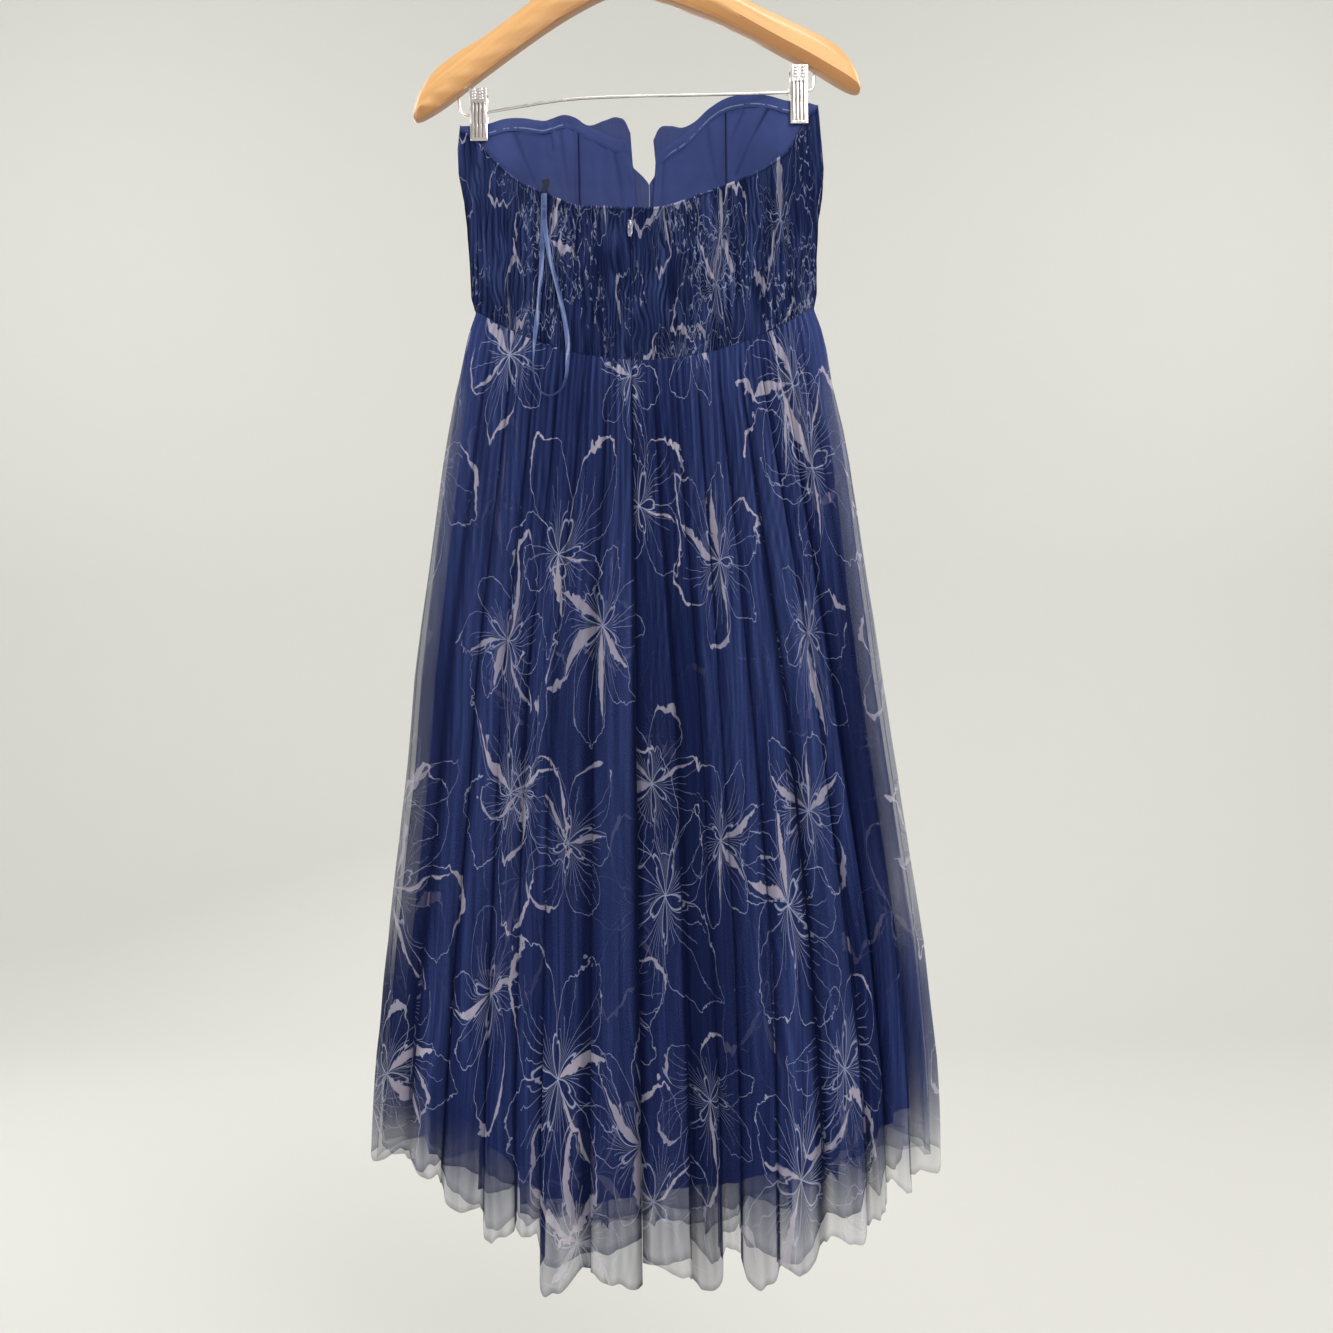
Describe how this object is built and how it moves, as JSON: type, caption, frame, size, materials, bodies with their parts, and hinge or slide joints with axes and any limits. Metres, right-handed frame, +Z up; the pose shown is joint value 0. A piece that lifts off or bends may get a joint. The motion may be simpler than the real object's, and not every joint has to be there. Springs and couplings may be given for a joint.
{
  "type": "strapless dress hung by clips on a wooden hanger",
  "caption": "Strapless long dress with a ruched bodice and a gathered sheer skirt over a lining, clipped to a wooden hanger with a wire hook.",
  "frame": {"origin": "inside top of the hook's bend, where the hook rests on a rod", "axes": "+X along the hanger, to the right when the garment's back is seen; +Z up; +Y from the garment's back to its front"},
  "size_m": [0.5302, 0.1553, 1.3875],
  "materials": {
    "ruched_tulle": "ruched printed navy tulle over a backing",
    "printed_tulle": "sheer navy tulle with a line-drawn flower print",
    "navy_lining": "plain navy satin lining",
    "gripper_strip": "navy tape with a shiny gripper line",
    "satin_ribbon": "blue satin ribbon",
    "dark_binding": "dark folded binding",
    "zip_tape": "navy invisible zip tape and coil",
    "bright_chrome": "bright chrome plate",
    "honey_wood": "clear-lacquered honey wood"
  },
  "bodies": {
    "dress_on_hanger": {"bodice_back_left": "ruched_tulle", "bodice_back_right": "ruched_tulle", "bodice_front_left": "ruched_tulle", "bodice_front_right": "ruched_tulle", "lining_side_left": "navy_lining", "lining_centre_left": "navy_lining", "lining_centre_right": "navy_lining", "lining_side_right": "navy_lining", "front_facing_left": "gripper_strip", "front_facing_right": "gripper_strip", "skirt_overlay_back_left": "printed_tulle", "skirt_overlay_back_right": "printed_tulle", "skirt_overlay_front": "printed_tulle", "skirt_lining_back_left": "navy_lining", "skirt_lining_back_right": "navy_lining", "skirt_lining_front": "navy_lining", "zip_chain": "zip_tape", "zip_slider": "bright_chrome", "loop_tab": "dark_binding", "hanger_loop": "satin_ribbon", "hanger_wood": "honey_wood", "hanger_hook": "bright_chrome", "clip_bar": "bright_chrome", "clip_left_front_jaw": "bright_chrome", "clip_left_back_jaw": "bright_chrome", "clip_left_spring": "bright_chrome", "clip_right_front_jaw": "bright_chrome", "clip_right_back_jaw": "bright_chrome", "clip_right_spring": "bright_chrome"},
    "zip_pull": {"zip_pull_tab": "bright_chrome"}
  },
  "joints": [
    {"name": "zip_pull_hinge", "type": "hinge", "parent": "dress_on_hanger", "child": "zip_pull", "pos_m": [-0.0025, -0.02259, -0.381], "axis": [-1, 0, 0], "range_deg": [0, 150]}
  ]
}
